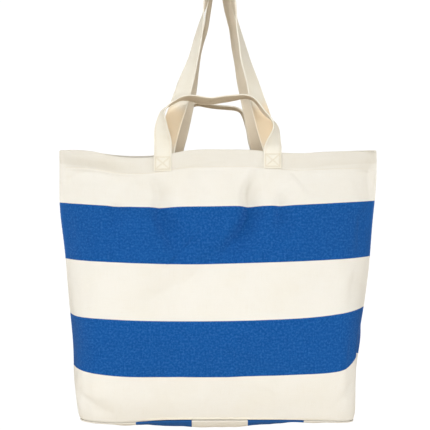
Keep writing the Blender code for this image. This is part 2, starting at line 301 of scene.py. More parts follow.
class Graph:
    """A material under construction: nodes are added by kind and wired by passing outputs as inputs."""

    def __init__(self, name):
        self.material = bpy.data.materials.new(name)
        self.material.use_nodes = True
        self.tree = self.material.node_tree
        self.shader = self.tree.nodes["Principled BSDF"]

    def put(self, socket, value):
        if isinstance(value, bpy.types.NodeSocket):
            self.tree.links.new(value, socket)
        else:
            socket.default_value = value

    def add(self, kind, inputs=(), **settings):
        node = self.tree.nodes.new("ShaderNode" + kind)
        for key, value in settings.items():
            setattr(node, key, value)
        for key, value in dict(inputs).items():
            self.put(node.inputs[key], value)
        return node

    def math(self, operation, a, b=0.0):
        return self.add("Math", {0: a, 1: b}, operation=operation).outputs[0]

    def noise(self, vector, scale, detail=2.0, roughness=0.5):
        return self.add("TexNoise", {"Vector": vector, "Scale": scale, "Detail": detail,
                                     "Roughness": roughness}).outputs["Fac"]

    def stretch(self, vector, x, y):
        return self.add("Mapping", {"Vector": vector, "Scale": (x, y, 1)}).outputs["Vector"]

    def ramp(self, value, low, high, to_low=0.0, to_high=1.0):
        node = self.add("MapRange", {"Value": value, "From Min": low, "From Max": high,
                                     "To Min": to_low, "To Max": to_high}, interpolation_type="SMOOTHSTEP")
        return node.outputs[0]

    def mix(self, factor, a, b, blend="MIX"):
        node = self.add("Mix", data_type="RGBA", blend_type=blend)
        self.put(node.inputs["Factor"], factor)
        self.put(node.inputs[6], a)
        self.put(node.inputs[7], b)
        return node.outputs[2]

    def tint(self, colour, other, value, low, high, most=1.0):
        """The colour, with this much of another one mixed in by the time the value gets from low to high."""
        return self.mix(self.ramp(value, low, high, 0.0, most), colour, other)

    def weave(self, u, v, pitch):
        """Height of a plain weave, 0 to 1: each yarn is round and passes over and under the others."""
        sine_u, sine_v = (self.math("SINE", self.math("MULTIPLY", at, math.pi / pitch)) for at in (u, v))
        on_top = self.ramp(self.math("MULTIPLY", sine_u, sine_v), -0.25, 0.25)
        higher = self.math("MULTIPLY", self.math("ABSOLUTE", sine_u), on_top)
        lower = self.math("MULTIPLY", self.math("ABSOLUTE", sine_v), self.math("SUBTRACT", 1.0, on_top))
        return self.math("ADD", higher, lower)

    def finish(self, colour, height, bump, roughness, sheen):
        self.put(self.shader.inputs["Base Color"], colour)
        self.put(self.shader.inputs["Roughness"], roughness)
        self.put(self.shader.inputs["Specular IOR Level"], 0.12)
        self.put(self.shader.inputs["Sheen Weight"], sheen)
        self.put(self.shader.inputs["Sheen Roughness"], 0.5)
        if height is not None:
            node = self.add("Bump", {"Height": height, "Strength": 1.0, "Distance": bump})
            self.put(self.shader.inputs["Normal"], node.outputs["Normal"])
        return self.material


CREAM = (0.824, 0.794, 0.720, 1)
CREAM_WARM = (0.812, 0.776, 0.688, 1)
CREAM_DARK = (0.740, 0.665, 0.525, 1)
WEB_CREAM = (0.825, 0.785, 0.678, 1)
WEB_WARM = (0.808, 0.752, 0.622, 1)
BLUE = (0.0062, 0.0935, 0.328, 1)
BLUE_LIGHT = (0.0225, 0.126, 0.392, 1)
BLUE_DARK = (0.0020, 0.067, 0.267, 1)
BLUE_WORN = (0.085, 0.200, 0.470, 1)
HEM_PAINTED_SHADE = (0.945, 0.935, 0.915, 1)
WEB_PAINTED_SHADE = (0.635, 0.525, 0.38, 1)
WEB_PAINTED_GLOW = (0.885, 0.735, 0.525, 1)
WEB_STITCH_SHADE = (0.66, 0.58, 0.43, 1)
WEB_WORN = (0.90, 0.87, 0.78, 1)
THREAD_PAINTED_SHADE = (0.72, 0.64, 0.49, 1)
THREAD_PAINTED_LIGHT = (0.84, 0.78, 0.65, 1)
TAPE_PAINTED_SHADE = (0.76, 0.70, 0.57, 1)
TAPE_PAINTED_LIGHT = (0.86, 0.81, 0.69, 1)
YARN_PITCH = 0.95 * MM
WEB_PITCH = 1.15 * MM
TWILL_PITCH = (0.9 * MM, 1.3 * MM)
RAGGED = 0.6 * MM         # how far a stripe's edge strays, and half of the width that it fades over
STRIPE_FADE = 0.2 * MM
BLUE_LEAST = 0.3 * STRIPE  # the cloth inside the rim stays cream


def cloth_place(graph):
    """The cloth attribute: as a vector, across the cloth, down it, and the wear, less, on webbing, the
    painted shade of its box stitching.
    """
    place = graph.add("Attribute", attribute_name="cloth", attribute_type="GEOMETRY").outputs["Vector"]
    parts = graph.add("SeparateXYZ", {"Vector": place})
    return place, parts.outputs["X"], parts.outputs["Y"], parts.outputs["Z"]


def canvas_material():
    """Ecru canvas with woven-in blue stripes: odd ones are cream, even ones blue, counted by the cloth's Y.

    The hem is painted darker, as painted shade for the light that comes through its three layers less.
    """
    graph = Graph("striped_canvas")
    place, u, v, wear = cloth_place(graph)
    warp_slub = graph.noise(graph.stretch(place, 1100, 38), 1.0, 2.0)
    weft_slub = graph.noise(graph.stretch(place, 38, 1100), 1.0, 2.0)
    slub = graph.math("ADD", warp_slub, weft_slub)
    fleck = graph.noise(place, 620.0, 2.0, 0.6)
    cloud = graph.noise(place, 14.0, 3.0)
    weave = graph.weave(u, v, YARN_PITCH)

    ragged = graph.math("MULTIPLY", graph.math("SUBTRACT", warp_slub, 0.5), RAGGED)
    down = graph.math("MAXIMUM", graph.math("ADD", v, ragged), BLUE_LEAST)
    phase = graph.math("PINGPONG", graph.math("ADD", graph.math("DIVIDE", down, STRIPE), 0.5), 1.0)
    fade = STRIPE_FADE / STRIPE
    blue = graph.ramp(phase, 0.5 - fade, 0.5 + fade, 1.0, 0.0)

    cream = graph.tint(CREAM, CREAM_WARM, cloud, 0.35, 0.75)
    cream = graph.tint(cream, CREAM_DARK, fleck, 0.60, 0.80, 0.35)
    cream = graph.tint(cream, CREAM_DARK, slub, 1.02, 1.35, 0.22)
    heather = graph.noise(place, 290.0, 2.0, 0.6)
    dyed = graph.mix(graph.ramp(slub, 0.80, 1.20, 0.25, 1.0), BLUE_DARK, BLUE)
    dyed = graph.mix(graph.ramp(heather, 0.30, 0.54, 0.80, 0.0), dyed, BLUE_DARK)
    dyed = graph.tint(dyed, BLUE_LIGHT, heather, 0.46, 0.72, 0.8)
    dyed = graph.tint(dyed, BLUE_WORN, wear, 0.0, 1.0, 0.7)
    # Painted shade: the hem, three layers of cloth, is painted darker.
    hem = graph.ramp(v, HEM_DEPTH - 2.5 * MM, HEM_DEPTH + 1 * MM, 1.0, 0.0)
    cream = graph.mix(hem, cream, HEM_PAINTED_SHADE, "MULTIPLY")
    # Painted shade: the weave's low places, between its yarns, are painted up to 12% darker.
    valley = graph.ramp(weave, 0.0, 0.7, 0.88, 1.0)
    painted_weave_shade = graph.add("CombineColor", {0: valley, 1: valley, 2: valley}).outputs[0]
    colour = graph.mix(1.0, graph.mix(blue, cream, dyed), painted_weave_shade, "MULTIPLY")

    height = graph.math("ADD", weave, graph.math("MULTIPLY", slub, 0.6))
    rough = graph.ramp(fleck, 0.3, 0.7, 0.82, 0.94)
    return graph.finish(colour, height, 0.22 * MM, rough, 0.04)


def web_material():
    """Heavy cotton webbing: close ribs along its length, crossed by fine picks.

    Its selvedges are worn paler. Where the wear is below 0, in the grooves that its box stitching presses in,
    it is painted darker, as painted shade. Its face that is turned in is painted in shade, and a strap's
    outer face has a painted warm glow, by the inner attribute.
    """
    graph = Graph("cream_webbing")
    place, u, v, wear = cloth_place(graph)
    ribs = graph.noise(graph.stretch(place, 950, 30), 1.0, 2.0)
    fleck = graph.noise(place, 560.0, 2.0, 0.6)
    cloud = graph.noise(place, 17.0, 3.0)
    weave = graph.weave(u, v, WEB_PITCH)
    cream = graph.tint(WEB_CREAM, WEB_WARM, cloud, 0.35, 0.75)
    cream = graph.tint(cream, CREAM_DARK, ribs, 0.52, 0.75, 0.25)
    cream = graph.tint(cream, CREAM_DARK, fleck, 0.60, 0.80, 0.35)
    inner = graph.add("Attribute", attribute_name="inner", attribute_type="GEOMETRY").outputs["Fac"]
    # Painted shade on the face that is turned in, where inner is above 0.
    cream = graph.tint(cream, WEB_PAINTED_SHADE, inner, 0.0, 1.0)
    # A painted warm glow of bounced light on a strap's outer face, where inner is below 0.
    cream = graph.tint(cream, WEB_PAINTED_GLOW, inner, 0.0, -1.0)
    # Painted shade in the grooves of the box stitching, where the wear is below 0.
    cream = graph.tint(cream, WEB_STITCH_SHADE, wear, 0.0, -1.0, 0.38)
    colour = graph.tint(cream, WEB_WORN, wear, 0.0, 1.0, 0.5)
    height = graph.math("ADD", weave, graph.math("MULTIPLY", ribs, 0.8))
    rough = graph.ramp(fleck, 0.3, 0.7, 0.80, 0.92)
    return graph.finish(colour, height, 0.25 * MM, rough, 0.06)


def thread_material():
    """Twisted cotton thread: a fine diagonal ply."""
    graph = Graph("cream_thread")
    place = graph.add("TexCoord").outputs["Object"]
    ply = graph.add("TexWave", {"Vector": place, "Scale": 900.0, "Distortion": 1.5, "Detail": 1.0},
                    wave_type="BANDS", bands_direction="DIAGONAL").outputs["Fac"]
    shade = graph.noise(place, 300.0)
    # Painted shade and light of the ply: darker in its grooves and lighter on its crests, which the bump
    # raises.
    colour = graph.tint(THREAD_PAINTED_SHADE, THREAD_PAINTED_LIGHT, ply, 0.1, 0.9)
    colour = graph.tint(colour, CREAM_DARK, shade, 0.4, 0.7, 0.3)
    return graph.finish(colour, ply, 0.08 * MM, 0.75, 0.1)


def tape_material():
    """Binding tape: a fine diagonal twill."""
    graph = Graph("seam_binding")
    place, u, v, _ = cloth_place(graph)
    slant = graph.math("ADD", *(graph.math("MULTIPLY", at, math.tau / pitch)
                                for at, pitch in zip((u, v), TWILL_PITCH)))
    twill = graph.ramp(graph.math("SINE", slant), -0.6, 0.6)
    fleck = graph.noise(place, 700.0)
    cloud = graph.noise(place, 25.0, 2.0)
    # Painted shade and light of the twill: darker in its troughs and lighter on its ridges, which the bump
    # raises.
    colour = graph.tint(TAPE_PAINTED_SHADE, TAPE_PAINTED_LIGHT, twill, 0.0, 1.0)
    colour = graph.tint(colour, CREAM_DARK, cloud, 0.4, 0.7, 0.35)
    height = graph.math("ADD", twill, graph.math("MULTIPLY", fleck, 0.5))
    rough = graph.ramp(fleck, 0.3, 0.7, 0.78, 0.9)
    return graph.finish(colour, height, 0.15 * MM, rough, 0.1)


CANVAS = canvas_material()
WEBBING = web_material()
THREAD = thread_material()
BINDING = tape_material()


# ---------------------------------------------------------------- the hanging shape of the bag

def rim_line():
    """Both halves of the rim, seen from above: straight in the middle and curving in to the side seams."""
    lines = {}
    x = np.linspace(-RIM_HALF_WIDTH, RIM_HALF_WIDTH, 1201)
    for side in SIDES:
        flat = RIM_FLAT_HALF[side]
        across = np.clip((np.abs(x) - flat) / (RIM_HALF_WIDTH - flat), 0, 1)
        lines[side] = np.stack([x, side * RIM_DEPTH[side] * (1 - across ** 2)], -1)
    return lines


def base_line():
    """Both halves of the base seam, seen from above: a rectangle with round corners."""
    lines = {}
    turn = np.linspace(0, math.pi / 2, 41)
    inner_x, inner_y = BASE_HALF_LENGTH - BASE_CORNER, BASE_HALF_DEPTH - BASE_CORNER
    x = np.concatenate([[-BASE_HALF_LENGTH], -inner_x - BASE_CORNER * np.cos(turn)])
    y = np.concatenate([[0], inner_y + BASE_CORNER * np.sin(turn)])
    for side in SIDES:
        lines[side] = np.stack([np.concatenate([x, -x[::-1]]), side * np.concatenate([y, y[::-1]])], -1)
    return lines


RIM, BASE = rim_line(), base_line()

# All the tables below are in millimetres; across is from the middle of the panel, down is from its rim.
# Where a rim is pulled down: across, reach across, drop.
RIM_PULLS = {
    FRONT: ((-128, 62, 13.4), (110, 46, 4.0), (165, 60, 3.6), (262, 40, 3.2)),
    BACK: ((130, 66, 4.0), (-135, 62, 7.6)),
}
# Where the base seam is pulled down: across, reach, drop.
BASE_PULLS = {FRONT: ((-160, 56, 5.0), (212, 70, 3.0)), BACK: ((-150, 60, 2.0), (190, 60, 3.0))}
# Where a side of the bag is pushed out: which side, down, reach down, how far.
SIDE_PULLS = (
    (-1, 92, 58, 4.4), (-1, 230, 70, 1.4), (-1, 372, 46, 4.2), (-1, 432, 9, -2.0),
    (1, 52, 60, 3.6), (1, 170, 60, 1.6), (1, 350, 62, -1.2), (1, 430, 12, -3.0),
)
# Where a side seam has swung forwards round the side: which side, down, reach down, inwards, forwards.
SEAM_PULLS = ((1, 322, 70, 8.5, 14), (-1, 300, 90, 0, -4))
# Where a panel stands out beside a side seam: which side, from the seam, reach, down, reach, how far.
CORNER_PUSHES = {FRONT: (), BACK: ((1, 20, 15, 296, 60, 7.0),)}
# Where the cloth has been drawn up, which carries its stripes with it: across, down, reaches, how far.
DRAPE = {
    FRONT: ((-50, 190, 90, 60, -1.0), (0, 357, 400, 42, 2.6)),
    BACK: ((0, 200, 150, 90, -2.0), (-120, 330, 80, 70, 2.0)),
}
# How the stripes rise towards a side: which side, from where across, up to where, how far there.
SLACK = ((-1, 62, 262, 7.2), (1, -40, 264, 11.0))
# How they rise beside a side seam: which side, down, reach from the seam, reach down, how far.
SEAM_DRAPE = ((1, 356, 50, 56, 30), (1, 268, 80, 46, 6.5), (-1, 366, 76, 40, 9))

# Folds: points across and down the panel, how wide, and how far they stand out.
FRONT_FOLDS = (
    (((-102, 24), (-98, 44), (-89, 64), (-91, 98), (-79, 131), (-60, 160), (-34, 178)), 10.5, -11.5),
    (((68, 22), (54, 49), (46, 70), (48, 96), (40, 124), (22, 150), (0, 170), (-26, 182)), 9.5, -15.0),
    (((30, 40), (24, 66), (26, 96), (14, 124)), 13, 1.4),
    (((110, 30), (124, 52), (144, 78)), 5.5, 2.8),
    (((101, 62), (98, 92), (98, 122), (92, 150)), 8.5, -8.0),
    (((-130, 34), (-133, 60), (-128, 86)), 9, -3.4),
    (((-160, 78), (-163, 104), (-160, 136)), 10, -6.0),
    (((-290, 5), (-230, 6), (-150, 5), (-96, 8)), 14, 6.4),
    (((-290, 24), (-215, 29), (-170, 27), (-128, 31), (-104, 42)), 10, -5.6),
    (((-262, 50), (-225, 40), (-190, 28)), 9, -4.0),
    (((106, 5), (190, 7), (300, 5)), 14, 5.2),
    (((112, 26), (170, 29), (215, 28), (300, 31)), 9, -4.4),
    (((-44, 9), (-12, 6), (22, 10)), 7, 1.4),
    (((-50, 24), (-20, 27), (12, 24), (36, 29)), 5.5, -2.2),
    (((250, 4), (247, 40), (250, 84)), 8, -3.6),
    (((-124, 250), (-72, 220), (-40, 204), (10, 186)), 23, -7.0),
    (((232, 100), (228, 146), (227, 186)), 7, -2.4),
    (((224, 186), (216, 230), (214, 270)), 9, -2.2),
    (((216, 290), (212, 330), (214, 404)), 8, -2.2),
    (((-244, 372), (-196, 398), (-150, 424)), 8, -2.6),
    (((-230, 346), (-176, 382), (-128, 420)), 12, 1.8),
    (((232, 352), (200, 388), (168, 424)), 8, -2.2),
    (((60, 300), (20, 350), (34, 404)), 18, 1.4),
)
BACK_FOLDS = (
    (((76, 26), (66, 80), (42, 130), (0, 152)), 7, -5.2),
    (((-76, 26), (-64, 76), (-48, 120), (-10, 148)), 6.5, -4.4),
    (((110, 30), (124, 66), (130, 112)), 6, 2.8),
    (((-104, 34), (-128, 64), (-146, 112)), 7, -3.4),
    (((-262, 26), (-190, 32), (-110, 26)), 6.5, -4.2),
    (((-262, 8), (-190, 7), (-110, 9)), 9, 2.8),
    (((110, 26), (190, 31), (262, 27)), 6.5, -4.0),
    (((110, 7), (190, 8), (262, 6)), 9, 2.6),
    (((-220, 80), (-216, 170), (-210, 280)), 9, -2.6),
    (((222, 60), (214, 150), (216, 270)), 9, -2.8),
    (((-236, 366), (-190, 396), (-150, 428)), 8, -2.8),
    (((236, 358), (190, 392), (158, 428)), 8, -2.6),
    (((-110, 252), (-40, 232), (44, 240)), 14, -2.4),
    (((30, 320), (70, 350), (112, 402)), 14, -2.0),
)
FOLDS = {FRONT: FRONT_FOLDS, BACK: BACK_FOLDS}
# Where the handles and the straps are sewn on, left and right
HANDLE_X = {FRONT: (-86.5 * MM, 87.0 * MM), BACK: (-69.5 * MM, 68.0 * MM)}
STRAP_X = {FRONT: (-82.0 * MM, 86.5 * MM), BACK: (-69.5 * MM, 68.0 * MM)}


def bulge(side, t):
    """How far a panel's middle stands out, t from the rim down to the base."""
    return BULGE[side] * (1 - (1 - t) ** BULGE_RISE) * (1 - t ** BULGE_TUCK)


def loft(side, a, t):
    """The even loft: a runs from side seam to side seam, t from the rim down to the base."""
    weight = np.clip(t, 0, 1) ** TAPER_POWER
    x, y = 0, 0
    for line, part in ((RIM[side], 1 - weight), (BASE[side], weight)):
        share = along_curve(line) / along_curve(line)[-1]
        x = x + np.interp(a, share, line[:, 0]) * part
        y = y + np.interp(a, share, line[:, 1]) * part
    depth = RIM_DEPTH[side] * (1 - weight) + BASE_HALF_DEPTH * weight
    y = y * (1 + bulge(side, t) / depth)
    return np.stack([x, y, RIM_Z - HEIGHT * t], -1)


STROKE_STEP = 6 * MM
STEEP, GENTLE = 0.8, 1.8   # how far a fold's two flanks reach, in widths
RISING, FALLING = 0.3, 0.45    # how much of its length a fold takes to rise and to die out


def stroke(u, v, points, width, valley):
    """How near each place is to a line of points: 1 on it, fading out across it and towards its ends.

    One flank is steeper: the upper left one of a valley and the lower right one of a ridge.
    """
    points = np.array(points, float) * MM
    if len(points) > 2:
        points = spline(points, STROKE_STEP, places=2)
    s = along_curve(points)
    best = np.full(u.shape, 1e9)
    place, toward = np.zeros(u.shape), np.zeros(u.shape)
    for k in range(len(points) - 1):
        along, to_u, to_v = nearest(u, v, points[k], points[k + 1])
        distance = np.hypot(to_u, to_v)
        nearer = distance < best
        best = np.where(nearer, distance, best)
        place = np.where(nearer, s[k] + along * (s[k + 1] - s[k]), place)
        toward = np.where(nearer, to_u + to_v, toward)
    steep = toward > 0 if valley else toward < 0
    share = place / s[-1]
    ends = smooth(share / RISING) * smooth((1 - share) / FALLING)
    widening = 0.8 + 0.8 * share
    return hill(best, 0, width * widening * np.where(steep, STEEP, GENTLE)) * (0.1 + 0.9 * ends)


# Crumple: wavelength and height in millimetres, and how many waves make it up. All but the last are warped.
CRUMPLE = ((150, 1.0, 10), (46, 0.30, 10), (17, 0.075, 14), (7, 0.025, 16))
WARP_LENGTH, WARP = 90 * MM, 6 * MM
SEWN_HALF = 21 * MM        # half width of the cloth that a sewn end holds flat, and how far down it does
SEWN_DOWN, SEWN_FADE = 27 * MM, 16 * MM
HEM_DIMPLE = 0.45 * MM     # how deep the hem's stitches sink
HELD_BY_BASE = 22 * MM


def relief(side, u, v, long):
    """How far the cloth stands out of the loft: folds and crumple, held flat where webbing is sewn."""
    out = np.zeros(u.shape)
    for points, width, height in FOLDS[side]:
        out += stroke(u, v, points, width * MM, height < 0) * height * MM
    seed = 10 if side == FRONT else 20
    warped = [at + waves(u, v, WARP_LENGTH, seed + k) * WARP for k, at in ((1, u), (2, v))]
    for k, (wavelength, height, count) in enumerate(CRUMPLE):
        places = (u, v) if k == len(CRUMPLE) - 1 else warped
        out += waves(*places, wavelength * MM, seed + 3 + k, count) * height * MM
    for x in HANDLE_X[side]:
        out *= 1 - 0.93 * hill(u, x, SEWN_HALF, 4) * (1 - smooth((v - SEWN_DOWN) / SEWN_FADE))
    hem = 1 - smooth((v - HEM_DEPTH) / (4 * MM))
    out *= 1 - 0.25 * hem
    out -= HEM_DIMPLE * hill(v, HEM_STITCH_DEPTH, 1.5 * MM)
    return out * smooth((long - v) / HELD_BY_BASE)


PUCKER_LENGTH = 8.5 * MM
PUCKER_HEIGHT = 0.30 * MM
PUCKER_REACH = 5 * MM


def puckers(along, distance, seed):
    """The gathered ripple beside a seam."""
    ripple = np.sin(math.tau * along / PUCKER_LENGTH + 2.4 * waves(along, along * 0, 60 * MM, seed))
    return PUCKER_HEIGHT * ripple * np.exp(-distance / PUCKER_REACH)


COLUMNS, ROWS, HEM_ROWS = 261, 226, 37
RIM_REACH = 62 * MM        # how far down the pulls at the rim are felt, and up those at the base
BASE_REACH = 60 * MM
SEAM_REACH = {FRONT: 34 * MM, BACK: 19 * MM}
SEAM_FLAT = 20 * MM        # how far from a seam the folds fade out
BASE_FLAT = 34 * MM
STRIPES_MEET = 60 * MM     # how far from a side seam the two panels' stripes come level
WEAR_REACH = 2.6 * MM
BASE_WEAR_REACH = 2 * MM


def column_places():
    """From seam to seam, closer together towards the seams."""
    even = np.linspace(-1, 1, COLUMNS)
    return 0.5 + 0.5 * (0.86 * even + 0.14 * np.sin(even * math.pi / 2))


def row_places():
    """From the rim to the base, twice as close together in the hem."""
    hem = (HEM_DEPTH + 4 * MM) / HEIGHT
    fine = np.linspace(0, hem, HEM_ROWS)
    return np.concatenate([fine[:-1], np.linspace(hem, 1, ROWS - HEM_ROWS + 1)])


def centre_length(side):
    """How far down the cloth each row is, along the middle of a panel."""
    return along_curve(loft(side, np.full(ROWS, 0.5), row_places()))


def panel_middle(side):
    """The middle of a panel's cloth from the rim down: its places, their flat coordinates and its normals."""
    a = column_places()
    spread_a, spread_t = np.meshgrid(a, row_places())
    grid = loft(side, spread_a, spread_t)
    step = np.linalg.norm(np.diff(grid, axis=1), axis=2)
    u = np.concatenate([np.zeros((ROWS, 1)), np.cumsum(step, axis=1)], 1)
    u -= u[:, COLUMNS // 2][:, None]
    length = centre_length(side)
    shared = (centre_length(FRONT) + centre_length(BACK)) / 2
    long = length[-1]
    v = np.repeat(length[:, None], COLUMNS, 1)
    from_seam = {-1: u - u[:, :1], 1: u[:, -1:] - u}
    from_edge = np.minimum(from_seam[-1], from_seam[1])
    from_base = long - v

    for centre, reach, drop in RIM_PULLS[side]:
        grid[..., 2] -= drop * MM * hill(u, centre * MM, reach * MM, 2.6) * hill(v, 0, RIM_REACH)
    for centre, reach, drop in BASE_PULLS[side]:
        grid[..., 2] -= drop * MM * hill(u, centre * MM, reach * MM) * hill(from_base, 0, BASE_REACH)
    for direction, centre, reach, push in SIDE_PULLS:
        near = np.clip(direction * grid[..., 0] / BASE_HALF_LENGTH, 0, 1) ** 3
        grid[..., 0] += direction * push * MM * near * hill(v, centre * MM, reach * MM)

    seam_fade = smooth(from_edge / SEAM_FLAT)
    base_fade = smooth(from_base / BASE_FLAT)
    normals = side_normals(side, grid)
    out = relief(side, u, v, long) * seam_fade
    out += puckers(v, from_edge, 31 + side) * (from_edge > 0.8 * MM)
    out += puckers(u, from_base, 41 + side) * base_fade ** 0.2
    out -= 1.3 * MM * hill(from_base, 0, 1.3 * MM)
    grid = grid + normals * out[..., None]
    grid[..., 1] = side * np.maximum(side * grid[..., 1], SEAM_CLEAR)
    for direction, centre, reach, inwards, forwards in SEAM_PULLS:
        pull = hill(from_seam[direction], 0, SEAM_REACH[side]) * hill(v, centre * MM, reach * MM)
        pull = pull * base_fade
        grid[..., 0] -= direction * inwards * MM * pull
        grid[..., 1] -= forwards * MM * pull
    for direction, off, reach, centre, reach_v, push in CORNER_PUSHES[side]:
        swell = hill(from_seam[direction], off * MM, reach * MM) * hill(v, centre * MM, reach_v * MM)
        grid[..., 0] += direction * push * MM * swell

    cloth = v + (shared[:, None] - v) * hill(from_edge, 0, STRIPES_MEET)
    for centre_u, centre_v, reach_u, reach_v, drawn in DRAPE[side]:
        drape = hill(u, centre_u * MM, reach_u * MM) * hill(v, centre_v * MM, reach_v * MM)
        cloth = cloth + drawn * MM * drape * seam_fade
    lower = smooth((v - 200 * MM) / (70 * MM))
    for direction, start, end, drawn in SLACK:
        share = np.clip((direction * u - start * MM) / ((end - start) * MM), 0, 1.2)
        cloth = cloth + drawn * MM * share ** 2 * (1 + 0.3 * lower)
    for direction, centre, reach, reach_v, drawn in SEAM_DRAPE:
        drape = hill(from_seam[direction], 0, reach * MM, 2.5) * hill(v, centre * MM, reach_v * MM)
        cloth = cloth + drawn * MM * drape
    wear = np.maximum(np.exp(-from_edge / WEAR_REACH), 0.8 * np.exp(-from_base / BASE_WEAR_REACH))
    return {"grid": grid, "normals": side_normals(side, grid), "a": a, "v": v[:, 0], "long": long,
            "cloth": np.stack([u, cloth, wear], -1)}


def side_normals(side, grid):
    """Normals that point out of the bag."""
    found = grid_normals(grid)
    middle = found[found.shape[0] // 2, found.shape[1] // 2]
    return found if middle[1] * side > 0 else -found


PANEL = {side: panel_middle(side) for side in SIDES}


def row_above(side, depth):
    """The panel's last row above this depth, and the share of the way to the next one."""
    rows = PANEL[side]["v"]
    k = int(np.clip(np.searchsorted(rows, depth) - 1, 0, ROWS - 2))
    return k, (depth - rows[k]) / (rows[k + 1] - rows[k])


def on_panel(side, x, depth):
    """The middle of the cloth and its outward normal, at this X and this far down from the rim."""
    panel = PANEL[side]
    k, share = row_above(side, depth)
    place, normal = (sample(x, panel["grid"][k, :, 0], panel[data][k]) * (1 - share)
                     + sample(x, panel["grid"][k + 1, :, 0], panel[data][k + 1]) * share
                     for data in ("grid", "normals"))
    return place, unit(normal)


FOLD_STEPS = 7


def make_panel(side):
    """One panel: its outside, the rounded fold over the rim, and the hem that is turned down inside."""
    panel = PANEL[side]
    grid, normals, v, a = panel["grid"], panel["normals"], panel["v"], panel["a"]
    upward = unit(grid[0] - grid[1])
    mitred = a + HEM_MITRE * np.exp(-a / HEM_MITRE_REACH) - HEM_MITRE * np.exp(-(1 - a) / HEM_MITRE_REACH)
    turned = []
    for k in range(1, FOLD_STEPS):
        share, turn = k / FOLD_STEPS, math.pi * k / FOLD_STEPS
        row = grid[0] - normals[0] * HEM_FOLD * (1 - math.cos(turn)) + upward * HEM_FOLD * math.sin(turn)
        turned.append((row, a * (1 - share) + mitred * share, -HEM_FOLD * turn))
    for k in range(int(np.searchsorted(v, HEM_DEPTH))):
        turned.append((grid[k] - normals[k] * 2 * HEM_FOLD, mitred, -v[k] - HEM_FOLD * math.pi))
    turned.reverse()
    inside = np.array([sample(at, a, row) for row, at, _ in turned])
    inside[..., 1] = side * np.maximum(side * inside[..., 1], SEAM_CLEAR)
    middle = np.concatenate([inside, grid])
    cloth = np.concatenate([np.repeat(panel["cloth"][:1], len(inside), 0), panel["cloth"]])
    cloth[:len(inside), :, 1] = np.array([down for _, _, down in turned])[:, None]
    if grid_normals(middle)[len(inside) + ROWS // 2, COLUMNS // 2, 1] * side < 0:
        middle, cloth = middle[:, ::-1], cloth[:, ::-1]
    name = FACE[side]
    made = make_shell(name + "_panel_cloth", middle, cloth)
    return sew_on(made, "striped_canvas", name + "_panel", name + "_hem_facing")


# The base
BASE_ROWS = 61
BASE_PROUD = 1.15          # how far outside the middle of the panels' cloth it starts, in cloth thicknesses
BASE_ROUND = 1.5 * MM      # radius of its edge
STRIPE_SHIFT = 3.5 * MM    # how far its middle stripe lies off the middle
BASE_SLACK = 2.4 * MM
SAG_PLACE = -14 * MM, 100 * MM


def base_drop(x, y):
    """How far the base hangs below its seam: deepest a little left of its middle."""
    outline = ((np.abs(x) / BASE_HALF_LENGTH) ** 6 + (np.abs(y) / BASE_HALF_DEPTH) ** 6) ** (1 / 6)
    inwards = np.clip((1 - outline) / 0.42, 0, 1)
    sag = (BASE_SLACK + BASE_SAG * hill(x, *SAG_PLACE, 2.6)) * np.sin(math.pi / 2 * inwards)
    wrinkle = waves(x, y, 60 * MM, 71) * 0.6 * MM + waves(x, y, 22 * MM, 72) * 0.2 * MM
    return sag + (wrinkle + 0.6 * MM) * smooth(inwards * 2)


def make_base():
    """The base between the two panels' lower edges, its stripes running from front to back."""
    front, back = (panel["grid"][-1] + panel["normals"][-1] * CLOTH * BASE_PROUD for panel in PANEL.values())
    even = np.linspace(-1, 1, BASE_ROWS)
    place = 0.55 * np.sin(even * math.pi / 2) + 0.45 * even
    weight = ((place + 1) / 2)[:, None, None]
    grid = front[None] * (1 - weight) + back[None] * weight
    x, y = grid[..., 0], grid[..., 1]
    edge = np.minimum(*(np.linalg.norm(grid - line[None], axis=-1) for line in (front, back)))
    edge = np.minimum(edge, np.maximum(BASE_HALF_LENGTH + 2 * MM - np.abs(x), 0))
    near = edge / BASE_ROUND
    round_edge = BASE_ROUND * np.sqrt(1 - (1 - np.clip(near, 0, 1)) ** 2)
    ripple = puckers(x, edge, 51) * smooth(near)
    grid[..., 2] -= 0.1 * MM + round_edge + base_drop(x, y) + np.abs(ripple)
    wear = 0.3 * np.exp(-edge / BASE_WEAR_REACH)
    cloth = np.stack([y, (x - STRIPE_SHIFT) * STRIPE / BASE_STRIPE + 2.5 * STRIPE, wear], -1)
    return sew_on(make_shell("base_cloth", grid, cloth), "striped_canvas", "base_panel")


# ---------------------------------------------------------------- seam bindings inside

def tape_section():
    """A folded tape's outline as pairs: how far from the seam, and how far to either side."""
    radius = TAPE_THICK / 2
    turn = np.linspace(-math.pi / 2, math.pi / 2, 7)
    free = np.stack([TAPE_WIDTH - radius + radius * np.cos(turn), radius * np.sin(turn)], -1)
    upper = np.array([[0, radius], [TAPE_WIDTH * 0.35, radius], [TAPE_WIDTH * 0.65, radius]])
    return np.concatenate([upper * [1, -1], free, upper[::-1]])


def make_tape(node, grid, section, along, ring):
    """Binding tape as a grid of cross-sections, in a ring or with two cut ends."""
    rows, columns = grid.shape[:2]
    if ring:
        faces = (grid_quads(rows + 1, columns, closed=True) % (rows * columns)).tolist()
    else:
        faces = tube_faces(rows, columns)
    cloth = np.stack([np.repeat(section[None, :, 0], rows, 0), np.repeat(along[:, None], columns, 1),
                      np.zeros((rows, columns))], -1).reshape(-1, 3)
    points = grid.reshape(-1, 3)
    made = make_piece(node + "_tape", points, outward(points, faces), [BINDING], cloth)
    return sew_on(made, "seam_binding", node)


def seam_line(direction):
    """Down a side seam: height, and how far forwards or back it lies."""
    column = -1 if direction > 0 else 0
    front, back = (PANEL[side]["grid"][::-1, column] for side in SIDES)
    return front[:, 2], (front[:, 1] + back[:, 1]) / 2


